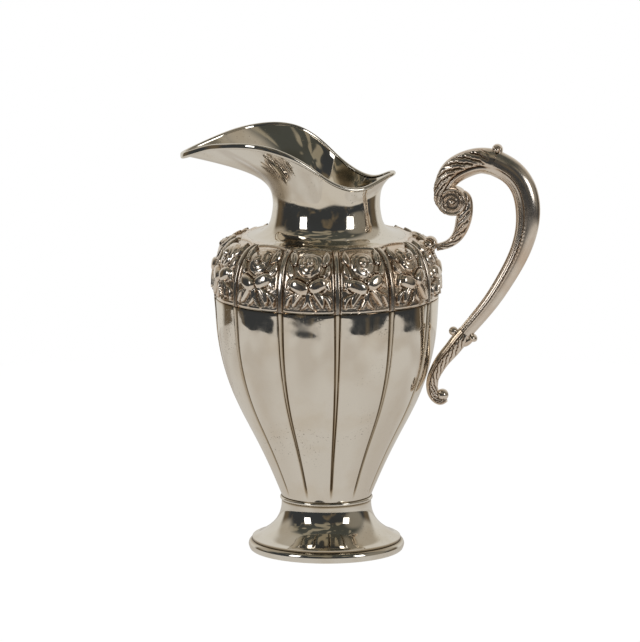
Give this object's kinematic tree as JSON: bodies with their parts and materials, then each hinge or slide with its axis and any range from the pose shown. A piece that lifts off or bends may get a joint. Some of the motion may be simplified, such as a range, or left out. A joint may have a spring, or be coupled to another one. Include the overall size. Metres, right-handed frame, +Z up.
{
  "type": "water pitcher",
  "caption": "Footed silver water pitcher with a lobed vase body, a shoulder chased with roses, a wide helmet-shaped pouring lip and a high cast scroll handle",
  "frame": {"origin": "centre of the foot ring's resting face, on the axis of the body", "axes": "+Z up along the body's axis, +X towards the handle, the spout points along -X, and the pitcher is the same on both sides of the XZ plane"},
  "size_m": [0.2287, 0.1464, 0.2664],
  "materials": {
    "body_silver": "polished sterling silver sheet, darkened in the chased ground",
    "foot_silver": "polished sterling silver, bright on the raised edges",
    "handle_silver": "polished sterling silver with warm tarnish in the hollows",
    "cast_silver": "cast and chased sterling silver, oxidised between the leaves"
  },
  "bodies": {
    "root": {"bowl": "body_silver", "rose_band": "body_silver", "neck_and_spout": "body_silver", "foot": "foot_silver", "foot_ring": "foot_silver", "collar_bead": "foot_silver", "rim_wire": "foot_silver", "handle_grip": "handle_silver", "handle_scroll": "cast_silver", "handle_neck_leaf": "cast_silver", "handle_tail": "cast_silver", "shoulder_bud": "cast_silver", "top_bud": "cast_silver", "calyx_inner_bud": "cast_silver", "calyx_outer_bud": "cast_silver"}
  },
  "joints": []
}
